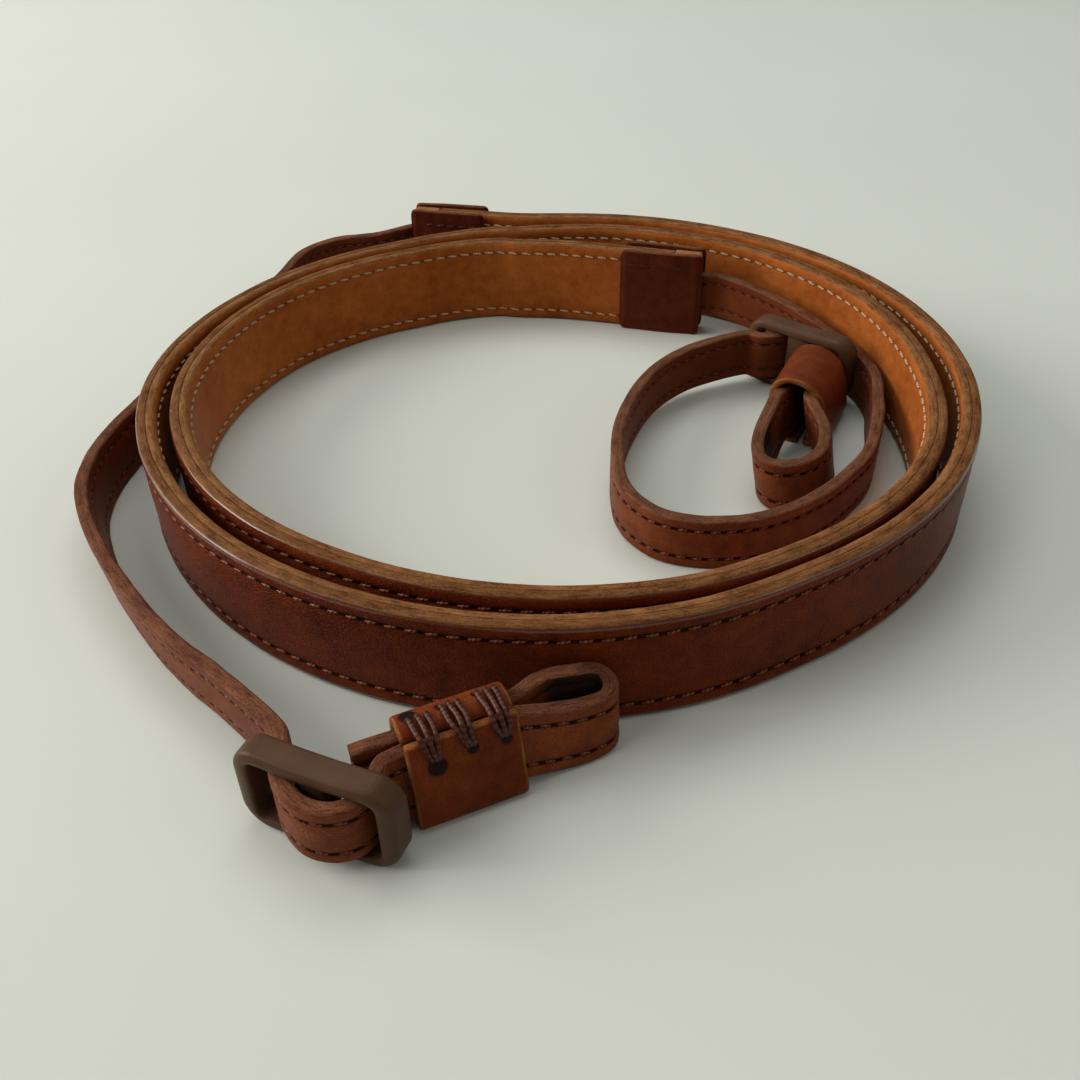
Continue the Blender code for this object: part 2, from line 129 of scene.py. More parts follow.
class Finish:
    """A material in the making, around one Principled shader."""

    def __init__(self, name, **fixed):
        self.material = bpy.data.materials.new(name)
        self.material.use_nodes = True
        self.tree = self.material.node_tree
        self.shader = self.tree.nodes["Principled BSDF"]
        for socket, value in fixed.items():
            self.shader.inputs[socket.replace("_", " ")].default_value = value

    def node(self, kind, settings, sockets, out=0):
        """One node of a kind, its settings made first, then its sockets' values or links."""
        made = self.tree.nodes.new(kind)
        for key, value in settings.items():
            if key == "stops":
                for spot, (place, colour) in enumerate(value):
                    stops = made.color_ramp.elements
                    stop = stops[spot] if spot < len(stops) else stops.new(place)
                    stop.position = place
                    stop.color = (*colour, 1.0)
            else:
                setattr(made, key, value)
        pairs = sockets.items() if isinstance(sockets, dict) else enumerate(sockets)
        for key, value in pairs:
            if isinstance(value, Wire):
                self.tree.links.new(value.socket, made.inputs[key])
            else:
                made.inputs[key].default_value = value
        return Wire(self, made.outputs[out])

    def lie(self):
        """Place on the leather as it lay flat, then along, over the width, through the wall."""
        place = self.node("ShaderNodeAttribute", {"attribute_name": "lie"}, {}, "Vector")
        split = self.node("ShaderNodeSeparateXYZ", {}, {0: place}).socket.node
        return place, *(Wire(self, split.outputs[axis]) for axis in range(3))

    def scaled(self, vector, factors):
        settings = {"operation": "MULTIPLY"}
        return self.node("ShaderNodeVectorMath", settings, {0: vector, 1: factors})

    def cloud(self, vector, scale, detail=3.0, rough=0.5):
        """Soft irregular patches; the scale is in patches a metre."""
        sockets = {"Vector": vector, "Scale": scale, "Detail": detail, "Roughness": rough}
        return self.node("ShaderNodeTexNoise", {}, sockets)

    def cells(self, vector, scale):
        """Distance from the borders between pebbles; the scale is in pebbles a metre."""
        settings = {"feature": "DISTANCE_TO_EDGE"}
        return self.node("ShaderNodeTexVoronoi", settings, {"Vector": vector, "Scale": scale})

    def mix(self, share, first, second):
        colours = [c if isinstance(c, Wire) else (*c, 1.0) for c in (first, second)]
        sockets = {0: share, 6: colours[0], 7: colours[1]}
        return self.node("ShaderNodeMix", {"data_type": "RGBA"}, sockets, 2)

    def tones(self, share, stops):
        return self.node("ShaderNodeValToRGB", {"stops": stops}, {0: share})

    def relief(self, height, depth):
        sockets = {"Height": height, "Distance": depth, "Strength": 1.0}
        return self.node("ShaderNodeBump", {}, sockets)

    def feed(self, **links):
        """Links values to the shader and hands over the finished material."""
        for socket, wire in links.items():
            self.tree.links.new(wire.socket, self.shader.inputs[socket.replace("_", " ")])
        return self.material


TABLE_HALF = 1.6
TABLE_TONE = (0.565, 0.575, 0.522)
TABLE_UNEVEN = 0.04

table = Finish("pale_table", Roughness=0.85)
table_place = table.node("ShaderNodeTexCoord", {}, {}, "Object")
table_blend = table.cloud(table_place, 9.0, 2.0)
table_dark = [(1 - TABLE_UNEVEN) * part for part in TABLE_TONE]
table_light = [(1 + TABLE_UNEVEN) * part for part in TABLE_TONE]
table_colour = table.mix(table_blend, table_dark, table_light)
table_shape = bmesh.new()
bmesh.ops.create_grid(table_shape, x_segments=1, y_segments=1, size=TABLE_HALF)
table_mesh = bpy.data.meshes.new("floor")
table_shape.to_mesh(table_mesh)
table_shape.free()
table_mesh.materials.append(table.feed(Base_Color=table_colour))
floor = bpy.data.objects.new("floor", table_mesh)
bpy.context.scene.collection.objects.link(floor)


def window(name, place, size, power, tone):
    """Soft light aimed at the coil: its place, its size, its power and its colour."""
    light = bpy.data.lights.new(name, "AREA")
    light.shape = "RECTANGLE"
    light.size, light.size_y = size
    light.energy = power
    light.color = tone
    made = bpy.data.objects.new(name, light)
    made.matrix_world = (
        Matrix.Translation(place)
        @ (-Vector(place)).to_track_quat("-Z", "Y").to_matrix().to_4x4()
    )
    bpy.context.scene.collection.objects.link(made)


window("window_left", (-1.10, 0.16, 0.46), (0.8, 0.7), 15.5, (1.0, 0.985, 0.95))
window("window_high", (-0.10, 0.70, 1.15), (0.9, 0.7), 4.0, (0.98, 1.0, 0.98))
window("window_right", (1.00, -0.35, 0.62), (0.8, 0.7), 2.2, (1.0, 0.97, 0.88))
window("ceiling", (-0.15, 0.40, 1.60), (2.0, 1.6), 9.0, (0.96, 1.0, 0.97))
window("pane_left", (-0.66, -0.30, 0.76), (0.40, 0.28), 1.7, (1.0, 0.95, 0.90))

ROOM_TONE = (0.80, 0.84, 0.80, 1.0)
ROOM_STRENGTH = 0.20

room = bpy.data.worlds.new("room")
room.use_nodes = True
room.node_tree.nodes["Background"].inputs["Color"].default_value = ROOM_TONE
room.node_tree.nodes["Background"].inputs["Strength"].default_value = ROOM_STRENGTH
bpy.context.scene.world = room


# The shoulder strap
# Two long plies of vegetable-tanned leather, a russet grain ply outside and an ochre
# lining inside, sewn together near both edges, their rims burnished round. It is wound
# a little over two turns and stands on its lower rim.

STRAP_WIDTH = 18.0 * MM
STRAP_DEPTH = 3.3 * MM
COIL_REACH = 70.0 * MM
COIL_MIDDLE = Vector((4.156, 8.158, 0.0)) * MM
COVER_LAP = 11.2 * MM
TURN_STEP_DEG = 1.5
LAP_STEPS = 8
STITCH_PITCH = 2.87 * MM
OUTER_ROW = 6.3 * MM
LINING_ROW = 6.7 * MM
FIRST_BEARING = 101.0

# Degrees travelled clockwise, distance from the coil's middle as a share of the reach
OUTER_TURN = (
    (0, 1.054), (4, 1.024), (8, 1.008), (14, 1.003), (26, 1.009), (41, 1.019),
    (71, 1.040), (101, 1.039), (131, 1.020), (161, 0.986), (176, 0.991), (191, 0.994),
    (221, 0.999), (251, 1.011), (281, 1.023), (311, 0.987), (329, 0.950), (341, 0.923),
)
# Degrees travelled, clear gap to the turn outside as a share of the strap's width
LAP_GAPS = (
    (361, 0.328), (371, 0.200), (401, 0.150), (431, 0.156), (461, 0.172), (491, 0.075),
    (521, 0.058), (551, 0.139), (581, 0.178), (611, 0.128), (641, 0.122), (671, 0.089),
    (701, 0.106), (715, 0.156), (724, 0.228), (731, 0.294), (742, 0.406), (749, 0.440),
)


def between(rows, at):
    """Smooth value of a two-column table."""
    last = len(rows) - 1
    spot = 0
    while spot < last - 1 and at > rows[spot + 1][0]:
        spot += 1
    x1, y1 = rows[spot]
    x2, y2 = rows[spot + 1]
    x0, y0 = rows[spot - 1] if spot > 0 else (x1, y1)
    x3, y3 = rows[spot + 2] if spot + 2 <= last else (x2, y2)
    span = x2 - x1
    slope_in = span * (y2 - y0) / (x2 - x0)
    slope_out = span * (y3 - y1) / (x3 - x1)
    t = (at - x1) / span
    rise = 3 * t**2 - 2 * t**3
    leaving, arriving = t**3 - 2 * t**2 + t, t**3 - t**2
    return (1 - rise) * y1 + rise * y2 + leaving * slope_in + arriving * slope_out


def turn_reach(travelled):
    """Distance of the strap's middle from the coil's middle after so many degrees."""
    start, end = OUTER_TURN[-1][0], LAP_GAPS[0][0]
    if travelled <= start:
        return COIL_REACH * between(OUTER_TURN, travelled)
    if travelled < end:
        share = (travelled - start) / (end - start)
        return (1 - share) * turn_reach(start) + share * turn_reach(end)
    return turn_reach(travelled - 360) - STRAP_DEPTH - STRAP_WIDTH * between(LAP_GAPS, travelled)


def coil_points():
    """Middle line of the shoulder strap, with a short straight run at both ends."""
    end = LAP_GAPS[-1][0]
    steps = round(end / TURN_STEP_DEG)
    bend = []
    for count in range(steps + 1):
        travelled = end * count / steps
        angle = math.radians(FIRST_BEARING - travelled)
        outwards = Vector((math.cos(angle), math.sin(angle), 0))
        bend.append(COIL_MIDDLE + turn_reach(travelled) * outwards)
    first = (bend[0] - bend[1]).normalized()
    last = (bend[-1] - bend[-2]).normalized()
    runs = [COVER_LAP * count / LAP_STEPS for count in range(LAP_STEPS, 0, -1)]
    start_run = [bend[0] + first * run for run in runs]
    end_run = [bend[-1] + last * run for run in reversed(runs)]
    return start_run + bend + end_run


def stations_of(points, height, leans=None):
    """Stations of a band on edge: distance along, middle, direction across, direction up."""
    made = []
    along = 0.0
    for spot, point in enumerate(points):
        before = points[max(spot - 1, 0)]
        after = points[min(spot + 1, len(points) - 1)]
        step = (after - before).to_2d().normalized()
        along += (point - before).length
        up = Vector((0, 0, 1)) + (leans[spot] if leans else Vector())
        made.append((along, point + Vector((0, 0, height)), Vector((-step.y, step.x, 0)), up))
    return made


def mirrored(half):
    """Ring of a section from its upper half, in millimetres: through the wall, up."""
    lower = [(through, -up) for through, up in reversed(half) if up > 0]
    return [(through * MM, up * MM) for through, up in [*half, *lower]]


SHARP_DEG = 50.0


def place_object(name, shape, finish):
    """Object of a finished shape, its faces turned outwards."""
    bmesh.ops.recalc_face_normals(shape, faces=shape.faces[:])
    mesh = bpy.data.meshes.new(name)
    shape.to_mesh(mesh)
    shape.free()
    mesh.shade_smooth()
    mesh.set_sharp_from_angle(angle=math.radians(SHARP_DEG))
    mesh.materials.append(finish)
    made = bpy.data.objects.new(name, mesh)
    bpy.context.scene.collection.objects.link(made)
    return made


# Share of its thickness that a rounded end keeps, and the distance at which points merge
THINNEST_END = 0.40
SAME_POINT = 1e-7


def add_band(shape, stations, section, round_end=0.0, ripple=None):
    """Rolls a flat sheet into the section's ring at every station, and closes its ends.

    Both ends are rounded off over round_end; a ripple moves the wall in or out. Every point
    keeps its place on the flat leather in the attribute lie, which the finishes read.
    """
    layers = shape.verts.layers.float_vector
    lie = layers.get("lie") or layers.new("lie")
    rows, ring = len(stations) - 1, len(section)
    middle = [(min(side) + max(side)) / 2 for side in zip(*section)]
    half = [(max(side) - min(side)) / 2 for side in zip(*section)]
    total = stations[-1][0]
    made = bmesh.ops.create_grid(shape, x_segments=rows, y_segments=ring, size=1.0)["verts"]
    for vert in made:
        row = round((vert.co.x + 1) / 2 * rows)
        through, up = section[round((vert.co.y + 1) / 2 * ring) % ring]
        along, centre, across, upward = stations[row]
        left = min(along, total - along)
        if left < round_end:
            shrink = round_end - math.sqrt(round_end**2 - (round_end - left) ** 2)
            through = middle[0] + (through - middle[0]) * max(1 - shrink / half[0], THINNEST_END)
            up = middle[1] + (up - middle[1]) * max(1 - shrink / half[1], THINNEST_END)
        vert[lie] = Vector((along, up, through))
        if ripple:
            through += ripple(along, up, through)
        vert.co = centre + across * through + upward * up
    bmesh.ops.remove_doubles(shape, verts=made, dist=SAME_POINT)
    rims = [edge for edge in shape.edges if edge.is_boundary]
    bmesh.ops.holes_fill(shape, edges=rims, sides=0)


def band(name, stations, section, finish, **options):
    """One band as an object."""
    shape = bmesh.new()
    add_band(shape, stations, section, **options)
    return place_object(name, shape, finish)


def on_root(piece, slot, *nodes):
    """The piece rides with the strap and stands for these nodes; the slot is not used."""
    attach(piece, "root")
    if nodes:
        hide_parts(*nodes)


# Leather's low gloss and its warm colour, the burnish, and the near black of painted shadow in holes
# and inside lug loops
LEATHER_SHINE = 0.08
WARM_GLOSS = (1.0, 0.42, 0.24, 1.0)
GLAZE_ROUGH = 0.15
SHADOW_TONE = (0.007, 0.006, 0.007)
# Marks a metre in the grain and on the rims
CLOUDS, MOTTLES, WRINKLES, PEBBLES, PORES = 55.0, 420.0, 900.0, 1500.0, 5200.0
FIBRES, NAP, STAINS = 3400.0, 4200.0, 480.0
# How near the edge a rim or a cut end begins and is full
RIM_START, RIM_FULL = 0.50 * MM, 0.24 * MM
END_START, END_FULL = 0.30 * MM, 0.06 * MM
# How far from its middle a groove, a needle hole or the plies' seam is full and is gone
GROOVE_FULL, GROOVE_GONE = 0.20 * MM, 0.42 * MM
HOLE_FULL, HOLE_GONE = 0.40 * MM, 0.68 * MM
SEAM_FULL, SEAM_GONE = 0.02 * MM, 0.15 * MM
# The burnished bead: its place in from the edge, its reach, and how deep in the wall it begins
BEAD_PLACE, BEAD_FULL, BEAD_GONE = 0.55 * MM, 0.20 * MM, 0.45 * MM
BEAD_START, BEAD_DEPTH = 1.0 * MM, 1.3 * MM


def strap_leather(
    name, tones, rims, width, sewing, finish, cut=None, punched=(), glaze=0.0, loop_shadow=None,
):
    """Grain leather with fibrous rims, sewing grooves and needle holes.

    The sewing is the rows' height, their pitch and how dark the painted shade in the groove
    and in the needle holes is; the finish is the face's roughness and the depth of its grain.
    A length under cut gives both ends the rims' look; punched holes, painted near black as
    the shadow inside them, are a place on the leather and a radius. A glaze is the burnished
    shine of the bead between the sewing and the rim. The loop's shadow, painted near black
    inside the lug loop, is its middle, its reach and its side; that side, turned inwards, is
    painted darker all along as shade.
    """
    dark, light = tones
    rim_dark, rim_light = rims
    rows, pitch, groove_shade, hole_shade = sewing
    face_rough, grain_depth = finish
    made = Finish(
        name, Specular_IOR_Level=LEATHER_SHINE, Specular_Tint=WARM_GLOSS,
        Coat_Roughness=GLAZE_ROUGH,
    )
    lie, along, over, through = made.lie()
    half = width / 2

    # The grain face: dye in large and small clouds, darker between the pebbles
    broad = made.cloud(lie, CLOUDS, 3.0)
    mottle = made.cloud(lie, MOTTLES, 4.0, 0.6)
    wrinkle = made.cloud(made.scaled(lie, (2.2, 1.0, 1.0)), WRINKLES, 4.0, 0.65)
    pebble = made.cells(made.scaled(lie, (1.0, 1.4, 1.0)), PEBBLES).rising(0.0, 0.16)
    pore = made.cloud(lie, PORES, 2.0)
    face = made.tones(broad * 0.50 + mottle * 0.50, [(0.33, dark), (0.68, light)])
    face = made.mix((1 - pebble) * 0.38, face, dark)

    # The cut rims: fibres drawn out along the strap, with stains
    rim = abs(over).rising(half - RIM_START, half - RIM_FULL)
    if cut:
        ends = abs(along - cut / 2).rising(cut / 2 - END_START, cut / 2 - END_FULL)
        rim = rim.largest(ends)
    fibres = made.cloud(made.scaled(lie, (0.13, 1.0, 1.0)), FIBRES, 5.0, 0.72)
    nap = made.cloud(made.scaled(lie, (0.6, 1.0, 1.0)), NAP, 3.0, 0.7)
    stains = made.cloud(made.scaled(lie, (0.5, 1.0, 1.0)), STAINS, 3.0)
    rim_tone = fibres * 0.45 + nap * 0.30 + stains * 0.25
    rim_tone = made.tones(rim_tone, [(0.40, rim_dark), (0.60, rim_light)])
    colour = made.mix(rim, face, rim_tone)

    # Painted shade in the sewing grooves and needle holes, the seam between the plies, and
    # painted shade on the side turned inwards and inside the lug loop
    row = abs(over).near(rows, GROOVE_FULL, GROOVE_GONE)
    holes = ((along / pitch).wrapped() * pitch).near(pitch / 2, HOLE_FULL, HOLE_GONE)
    pit_shade_and_depth = row * (groove_shade + holes * (hole_shade - groove_shade))
    # The side turned inwards is painted darker all along as shade, and its painted shade in grooves and
    # holes is lessened
    if loop_shadow:
        middle, reach, side = loop_shadow
        shaded_side = (through * side).rising(0.2 * MM, 0.8 * MM) * (1 - rim)
        colour = made.mix(shaded_side * 0.55, colour, dark)
        pit_shade_and_depth = pit_shade_and_depth * (1 - shaded_side * 0.55)
    seam = rim * abs(through).near(0.0, SEAM_FULL, SEAM_GONE)
    colour = made.mix(pit_shade_and_depth.largest(seam * 0.16), colour, [0.12 * part for part in dark])
    # Painted shadow, near black with a ragged edge, deep inside the lug loop
    if loop_shadow:
        loop_shadow_mark = (through * side + nap * 0.5 * MM).rising(0.95 * MM, 1.25 * MM) * (1 - rim)
        loop_shadow_mark = loop_shadow_mark * along.near(middle, 0.7 * reach, reach)
        colour = made.mix(loop_shadow_mark * 0.92, colour, SHADOW_TONE)
    # Punched holes painted near black as the shadow inside them, and sunk in the relief
    for place, radius in punched:
        settings = {"operation": "DISTANCE"}
        away = made.node("ShaderNodeVectorMath", settings, {0: lie, 1: place}, 1)
        hole = 1 - (away + nap * 0.4 * MM).rising(radius * 0.85, radius * 1.2)
        colour = made.mix(hole * 0.97, colour, SHADOW_TONE)
        pit_shade_and_depth = pit_shade_and_depth.largest(hole)

    # Relief, gloss, and the burnished bead beside the rim
    height = pebble * 0.45 + wrinkle * 0.75 + pore * 0.22
    height = height * (1 - rim) + rim * (fibres * 1.5 + nap * 1.2) - pit_shade_and_depth * 1.6
    rough = face_rough + mottle * 0.16 - pebble * 0.04
    rough = rough * (1 - rim) + rim * (0.52 + fibres * 0.3)
    bead = abs(over).near(half - BEAD_PLACE, BEAD_FULL, BEAD_GONE)
    bead = bead * through.rising(BEAD_START, BEAD_DEPTH)
    return made.feed(
        Base_Color=colour, Roughness=rough, Normal=made.relief(height, grain_depth),
        Coat_Weight=bead * glaze,
    )


russet = strap_leather(
    "russet_leather", ((0.062, 0.0070, 0.0012), (0.178, 0.030, 0.0060)),
    ((0.070, 0.021, 0.006), (0.255, 0.110, 0.041)), STRAP_WIDTH,
    (OUTER_ROW, STITCH_PITCH, 0.30, 0.96), (0.26, 0.17 * MM), glaze=0.9,
)
ochre = strap_leather(
    "ochre_lining", ((0.215, 0.048, 0.0075), (0.42, 0.125, 0.026)),
    ((0.076, 0.023, 0.007), (0.270, 0.120, 0.045)), STRAP_WIDTH,
    (LINING_ROW, STITCH_PITCH, 0.10, 0.34), (0.36, 0.03 * MM),
)

# Upper halves of the plies' sections: through the wall, up
OUTER_HALF = [
    (0.03, 0.0), (0.03, 4.0), (0.03, 7.9), (0.03, 8.82), (0.045, 8.92), (0.12, 8.96), (0.50, 8.99),
    (0.90, 9.00), (1.20, 8.95), (1.42, 8.81), (1.58, 8.59), (1.68, 8.30), (1.75, 7.85), (1.75, 7.35),
    (1.66, 6.95), (1.53, 6.68), (1.43, 6.46), (1.39, 6.30), (1.43, 6.12), (1.51, 5.88), (1.59, 5.50),
    (1.65, 4.80), (1.69, 3.0), (1.70, 0.0),
]
LINING_HALF = [
    (-0.03, 0.0), (-0.03, 4.0), (-0.03, 7.9), (-0.03, 8.80), (-0.045, 8.90), (-0.12, 8.94),
    (-0.50, 8.96), (-0.84, 8.95), (-1.14, 8.87), (-1.36, 8.70), (-1.52, 8.46), (-1.62, 8.12),
    (-1.66, 7.70), (-1.66, 7.20), (-1.61, 6.92), (-1.54, 6.70), (-1.61, 6.48), (-1.66, 6.15),
    (-1.67, 4.8), (-1.67, 3.0), (-1.67, 0.0),
]

HAND_WAVE = 0.06 * MM
HAND_WAVES_A_METRE = 160

strap_line = stations_of(coil_points(), STRAP_WIDTH / 2)


def hand_wave(along, up, through):
    """Slight unevenness of a hand-finished strap, the same on both of its sides."""
    return HAND_WAVE * noise.noise(Vector((along, up, 0)) * HAND_WAVES_A_METRE)


outer_ply = band("outer_ply", strap_line, mirrored(OUTER_HALF), russet, ripple=hand_wave)
on_root(outer_ply, "russet_leather", "shoulder_outer_ply")
lining = band("lining", strap_line, mirrored(LINING_HALF), ochre, ripple=hand_wave)
on_root(lining, "ochre_lining", "shoulder_lining")


# The shoulder strap's sewing
# Waxed thread in a groove along both edges, dark brown outside and cream on the lining.
# Each stitch dives into a needle hole at both of its ends and lies slightly aslant.

THREAD = 0.50 * MM
STITCH_LENGTH = 1.95 * MM
LINING_STITCH = 2.05 * MM
STITCH_SLANT_DEG = 7.0
SLANT_SPREAD_DEG = 3
STITCH_SIDES = 8
STITCH_BANDS = 6
OUTER_THREAD_DEPTH = 1.50 * MM
LINING_THREAD_DEPTH = -1.64 * MM
TWIST_PITCH = 0.75 * MM
THREAD_SHINE = 0.30
THREAD_GLOSS = (1.0, 0.62, 0.46, 1.0)


def thread_finish(name, dark, light, rough, depth=0.05 * MM):
    """Waxed twisted thread; over is here the angle round it."""
    made = Finish(
        name, Roughness=rough, Specular_IOR_Level=THREAD_SHINE, Specular_Tint=THREAD_GLOSS,
    )
    along, over = made.lie()[1:3]
    # Dark in the twist's grooves is painted shade and light on its crests painted highlight; the same
    # wave gives the relief.
    twist_shade_and_relief = (along * (2 * math.pi / TWIST_PITCH) + over).wave() * 0.5 + 0.5
    tone = made.mix(twist_shade_and_relief, dark, light)
    return made.feed(Base_Color=tone, Normal=made.relief(twist_shade_and_relief, depth))


def place_at(stations, along):
    """Middle, direction along, across and up at a distance along a band."""
    low, high = 0, len(stations) - 1
    while high - low > 1:
        spot = (low + high) // 2
        if stations[spot][0] < along:
            low = spot
        else:
            high = spot
    (s1, c1, a1, u1), (s2, c2, a2, u2) = stations[low], stations[high]
    share = (along - s1) / (s2 - s1)
    across = a1.lerp(a2, share).normalized()
    return c1.lerp(c2, share), (c2 - c1).normalized(), across, u1.lerp(u2, share)


def one_stitch(length, thread):
    """A single stitch, thick in the middle, its flat coordinates wound round it."""
    shape = bmesh.new()
    lie = shape.verts.layers.float_vector.new("lie")
    bmesh.ops.create_uvsphere(
        shape, u_segments=STITCH_SIDES, v_segments=STITCH_BANDS, radius=1.0,
    )
    bmesh.ops.rotate(shape, verts=shape.verts, matrix=Matrix.Rotation(math.pi / 2, 3, "Y"))
    for vert in shape.verts:
        around = math.atan2(vert.co.z, vert.co.y)
        vert[lie] = Vector((vert.co.x * length / 2, around, 0))
    bmesh.ops.scale(shape, vec=(length / 2, thread / 2, thread / 2), verts=shape.verts)
    mesh = bpy.data.meshes.new("stitch")
    shape.to_mesh(mesh)
    shape.free()
    return mesh


def sew(
    shape, stations, rows, first, last,
    pitch=STITCH_PITCH, length=STITCH_LENGTH, thread=THREAD, loop_shadow=(0, 0, 0),
):
    """Stitches along rows of a band; a row holds its height and its depth through the wall.

    On the stretch painted in shadow inside the lug loop, its middle, its reach and its side,
    no stitches are made.
    """
    single = one_stitch(length, thread)
    shadow_place, shadow_reach, shadow_side = loop_shadow
    count = int(first / pitch) + 1
    while count * pitch < last:
        centre, along, across, up = place_at(stations, count * pitch)
        for height, through in rows:
            if through * shadow_side > 0 and abs(count * pitch - shadow_place) < shadow_reach:
                continue
            slant = STITCH_SLANT_DEG + random.uniform(-SLANT_SPREAD_DEG, SLANT_SPREAD_DEG)
            turn = math.radians(slant)
            spot = centre + up * height + across * through
            upright = across.cross(along)
            if upright.z <= 0:
                upright = along.cross(across)
            axes = Matrix((along, across, upright)).transposed().to_4x4()
            copy = single.copy()
            copy.transform(Matrix.Translation(spot) @ axes @ Matrix.Rotation(turn, 4, "Y"))
            shape.from_mesh(copy)
            bpy.data.meshes.remove(copy)
        count += 1
    bpy.data.meshes.remove(single)


random.seed(11)
# Each thread's dark and light tones are its painted shade and painted highlight along the twist.
brown_thread = thread_finish("brown_thread", (0.052, 0.014, 0.006), (0.205, 0.064, 0.032), 0.36)
cream_thread = thread_finish("cream_thread", (0.26, 0.16, 0.085), (0.52, 0.39, 0.26), 0.55)
strap_length = strap_line[-1][0]

outer_sewing = bmesh.new()
sew(
    outer_sewing, strap_line, [(row, OUTER_THREAD_DEPTH) for row in (OUTER_ROW, -OUTER_ROW)],
    COVER_LAP, strap_length - COVER_LAP,
)
on_root(place_object("outer_stitches", outer_sewing, brown_thread), "russet_leather")
lining_sewing = bmesh.new()
sew(
    lining_sewing, strap_line, [(row, LINING_THREAD_DEPTH) for row in (LINING_ROW, -LINING_ROW)],
    COVER_LAP, strap_length - COVER_LAP, length=LINING_STITCH,
)
on_root(place_object("lining_stitches", lining_sewing, cream_thread), "ochre_lining")


# The end covers
# A dark piece of leather is folded over each end of the shoulder strap, drawn in where
# the thin strap comes out and sewn through with three rows. Its cut edges stay light.

COVER_LENGTH = 17.8 * MM
COVER_HEIGHT = 18.6 * MM
COVER_HALF = 2.45 * MM
COVER_CORNER = 1.3 * MM
COVER_ROWS = (6.1 * MM, -1.3 * MM, -6.6 * MM)
COVER_THREAD_DEPTH = 0.66 * MM
COVER_PITCH = 2.6 * MM
COVER_STITCH = 2.0 * MM
FINE_THREAD = 0.42 * MM
FIRST_COVER_STITCH = 1.2 * MM
LAST_COVER_STITCH = 2.2 * MM

# Place along a cover, half gap between its plates as a share of the widest
COVER_NARROWING = ((0.0, 1.0), (3.0, 1.0), (9.5, 1.0), (12.2, 0.94), (15.0, 0.84), (17.8, 0.80))
PACKING_HEIGHTS = (16.2 * MM, 2.0 * MM)
PACKING_RUN = (11.3, 14.0, 17.2)
PACKING_CORNER = 0.4 * MM
PACKING_WIDTH = 8.0 * MM

# For leather whose stitches sit in no groove: rows beyond its edges, and no painted shade in its
# grooves or needle holes
UNSEWN = (30 * MM, STITCH_PITCH, 0.0, 0.0)

maroon = strap_leather(
    "maroon_leather", ((0.046, 0.0080, 0.0034), (0.112, 0.0215, 0.0080)),
    ((0.065, 0.019, 0.008), (0.185, 0.075, 0.032)), COVER_HEIGHT, UNSEWN, (0.36, 0.06 * MM),
)
dark_thread = thread_finish("dark_thread", (0.020, 0.005, 0.003), (0.060, 0.016, 0.009), 0.50)
tan_edge = strap_leather(
    "tan_edge", ((0.18, 0.070, 0.026), (0.38, 0.18, 0.075)),
    ((0.14, 0.052, 0.020), (0.42, 0.21, 0.090)), PACKING_WIDTH, UNSEWN, (0.55, 0.06 * MM),
)

# Upper half of a plate's section, 1 mm thick: through the wall, up
PLATE_HALF = [
    (-0.48, 0.0), (-0.50, 5.0), (-0.50, 8.6), (-0.46, 8.95), (-0.34, 9.18), (-0.12, 9.29), (0.12, 9.29),
    (0.34, 9.18), (0.46, 8.95), (0.52, 8.6), (0.58, 7.5), (0.62, 6.1), (0.66, 3.0), (0.66, 0.0),
]
# Upper half of the packing between the plates, beside the thin strap
PACKING_HALF = [
    (-1.30, 0.0), (-1.30, 1.4), (-1.20, 1.72), (-0.90, 1.88), (-0.20, 1.90), (0.0, 1.82), (0.20, 1.90),
    (0.90, 1.88), (1.20, 1.72), (1.30, 1.4), (1.30, 0.0),
]


class Place:
    """Level place: an origin in millimetres, a heading, and the direction to its left."""

    def __init__(self, x, y, heading_deg):
        angle = math.radians(heading_deg)
        self.origin = Vector((x, y, 0)) * MM
        self.along = Vector((math.cos(angle), math.sin(angle), 0))
        self.left = Vector((-math.sin(angle), math.cos(angle), 0))

    def at(self, along, left, up=0.0):
        return self.origin + self.along * along + self.left * left + Vector((0, 0, up))


def plan_curve(rows, step=0.35 * MM):
    """Points on a smooth curve through rows."""
    points = []
    for spot in range(len(rows) - 1):
        p0, p1 = rows[max(spot - 1, 0)], rows[spot]
        p2, p3 = rows[spot + 1], rows[min(spot + 2, len(rows) - 1)]
        steps = max(1, math.ceil((p2 - p1).length / step))
        for count in range(steps):
            t = count / steps
            points.append(0.5 * (
                2 * p1 + (p2 - p0) * t + (2 * p0 - 5 * p1 + 4 * p2 - p3) * t**2
                + (3 * p1 - p0 - 3 * p2 + p3) * t**3
            ))
    points.append(rows[-1])
    return points


def end_cover(name, node, place):
    """Two plates of one folded cover, the packing between them and their sewing."""
    shape, sewing, packing = bmesh.new(), bmesh.new(), bmesh.new()
    for side in (1, -1):
        line = plan_curve([
            place.at(along * MM, side * COVER_HALF * share) for along, share in COVER_NARROWING
        ])
        stations = stations_of(line, COVER_HEIGHT / 2)
        section = mirrored(PLATE_HALF)
        if side < 0:
            section = [(-through, up) for through, up in section]
        add_band(shape, stations, section, round_end=COVER_CORNER)
        rows = [(height, side * COVER_THREAD_DEPTH) for height in COVER_ROWS]
        sew(
            sewing, stations, rows, FIRST_COVER_STITCH, COVER_LENGTH - LAST_COVER_STITCH,
            pitch=COVER_PITCH, length=COVER_STITCH, thread=FINE_THREAD,
        )
    for height in PACKING_HEIGHTS:
        stations = stations_of(plan_curve([place.at(along * MM, 0) for along in PACKING_RUN]), height)
        add_band(packing, stations, mirrored(PACKING_HALF), round_end=PACKING_CORNER)
    on_root(place_object(name, shape, maroon), "maroon_leather", node)
    on_root(place_object(name + "_stitches", sewing, dark_thread), "maroon_leather")
    on_root(place_object(name + "_packing", packing, tan_edge), "maroon_leather")


